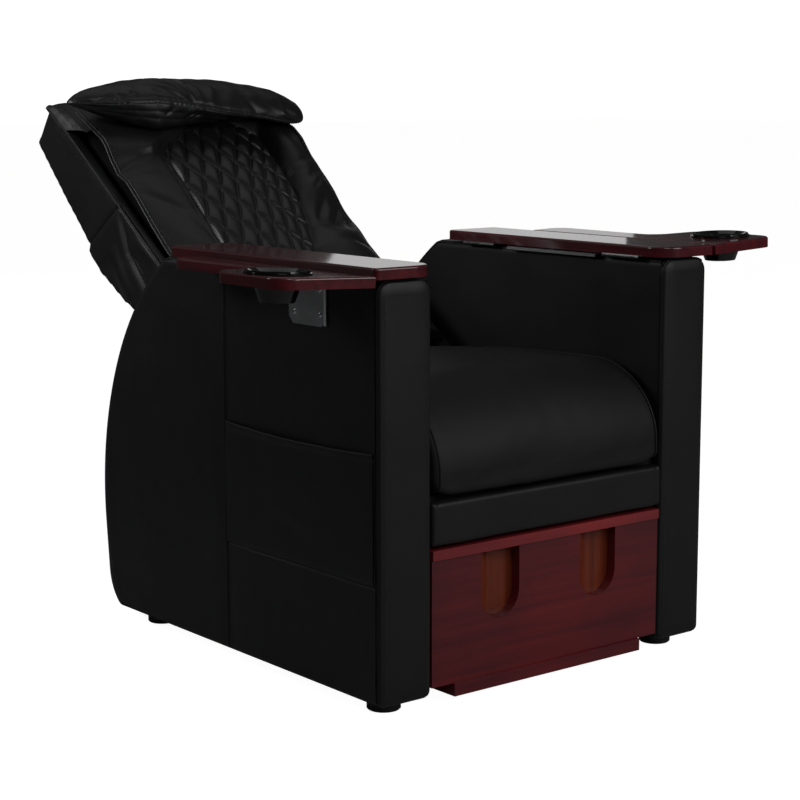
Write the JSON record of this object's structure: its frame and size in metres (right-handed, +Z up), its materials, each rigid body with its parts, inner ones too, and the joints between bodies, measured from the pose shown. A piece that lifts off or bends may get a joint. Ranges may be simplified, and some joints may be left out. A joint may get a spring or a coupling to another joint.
{
  "type": "pedicure spa chair",
  "caption": "Upholstered salon pedicure armchair with a reclining quilted back, a head pillow, wooden lap boards and cup-holder side trays on the arms, and a pull-out footrest drawer.",
  "frame": {"origin": "on the floor under the middle of the chair's bounding box", "axes": "+Z up; the chair faces -Y; +X towards the sitter's left"},
  "size_m": [1.1354, 1.3332, 1.0531],
  "materials": {
    "black_leather": "satin, fine grain",
    "mahogany": "gloss lacquer",
    "slot_brown": "satin",
    "plywood": "raw",
    "chrome": "polished",
    "steel": "brushed",
    "black_gloss": "gloss",
    "black_matte": "matte",
    "lining": "matte woven"
  },
  "bodies": {
    "base": {"arm_cover_right": "black_leather", "arm_cover_left": "black_leather", "arm_frame_right": "plywood", "arm_frame_left": "plywood", "arm_facing_right": "black_leather", "arm_facing_left": "black_leather", "side_pocket_right": "black_leather", "side_pocket_left": "black_leather", "floor_glides": "black_matte", "seat_front_rail": "black_leather", "seat_deck": "lining", "seat_cushion": "black_leather", "rear_stretcher": "plywood", "rear_shroud": "lining", "drawer_runner_channels": "steel", "recline_pivots": "steel", "strut_foot_bracket": "steel", "bracket_screws": "chrome", "lap_hinge_fixed_right": "chrome", "lap_hinge_fixed_left": "chrome", "lap_stop_right": "steel", "lap_stop_left": "steel", "tray_bracket_right": "chrome", "tray_bracket_left": "chrome"},
    "back": {"back_side_right": "black_leather", "back_side_left": "black_leather", "side_gusset_right": "black_leather", "side_gusset_left": "black_leather", "back_top_rail": "black_leather", "back_lower_rail": "plywood", "back_support_panel": "plywood", "back_rear_cover": "black_leather", "back_pad": "black_leather", "quilted_panel": "black_leather", "head_pillow": "black_leather", "strut_head_bracket": "steel"},
    "drawer": {"drawer_front": "mahogany", "drawer_top": "mahogany", "drawer_back": "mahogany", "drawer_plinth": "mahogany", "drawer_grip_blocks": "slot_brown", "drawer_runner_bars": "steel", "drawer_side_right": "mahogany", "drawer_side_left": "mahogany"},
    "strut_cylinder_body": {"strut_cylinder": "steel"},
    "strut_rod_body": {"strut_rod": "chrome"},
    "lap_board_body_right": {"lap_board_right": "mahogany", "lap_hinge_moving_right": "chrome"},
    "side_tray_body_right": {"side_tray_right": "mahogany", "tray_leaf_right": "chrome"},
    "cup_body_right": {"cup_right": "black_gloss"},
    "lap_board_body_left": {"lap_board_left": "mahogany", "lap_hinge_moving_left": "chrome"},
    "side_tray_body_left": {"side_tray_left": "mahogany", "tray_leaf_left": "chrome"},
    "cup_body_left": {"cup_left": "black_gloss"}
  },
  "joints": [
    {"name": "back_recline", "type": "hinge", "parent": "base", "child": "back", "pos_m": [0, -0.05981, 0.46486], "axis": [1, 0, 0], "range_deg": [0, 30]},
    {"name": "footrest_drawer_slide", "type": "slide", "parent": "base", "child": "drawer", "axis": [0, -1, 0], "range_m": [0, 0.36]},
    {"name": "strut_tilt", "type": "hinge", "parent": "base", "child": "strut_cylinder_body", "pos_m": [0, 0.0404, 0.1], "axis": [1, 0, 0], "range_deg": [0, 10.07]},
    {"name": "strut_extend", "type": "slide", "parent": "strut_cylinder_body", "child": "strut_rod_body", "axis": [0, 0.3688, 0.9295], "range_m": [0, 0.1066]},
    {"name": "lap_board_flip_right", "type": "hinge", "parent": "base", "child": "lap_board_body_right", "pos_m": [-0.2575, -0.3726, 0.725], "axis": [0, 1, 0], "range_deg": [0, 180]},
    {"name": "side_tray_fold_right", "type": "hinge", "parent": "base", "child": "side_tray_body_right", "pos_m": [-0.3845, -0.4666, 0.71], "axis": [0, -1, 0], "range_deg": [0, 78]},
    {"name": "cup_lift_right", "type": "slide", "parent": "side_tray_body_right", "child": "cup_body_right", "axis": [0.0349, 0, 0.9994], "range_m": [0, 0.06]},
    {"name": "lap_board_flip_left", "type": "hinge", "parent": "base", "child": "lap_board_body_left", "pos_m": [0.2575, -0.3726, 0.725], "axis": [0, -1, 0], "range_deg": [0, 180]},
    {"name": "side_tray_fold_left", "type": "hinge", "parent": "base", "child": "side_tray_body_left", "pos_m": [0.3845, -0.4666, 0.722], "axis": [0, 1, 0], "range_deg": [0, 78]},
    {"name": "cup_lift_left", "type": "slide", "parent": "side_tray_body_left", "child": "cup_body_left", "axis": [-0.0349, 0, 0.9994], "range_m": [0, 0.06]}
  ],
  "couplings": [
    {"joint": "strut_tilt", "follows": "back_recline", "ratio": 0.32913},
    {"joint": "strut_extend", "follows": "back_recline", "m_per_rad": 0.20167}
  ]
}
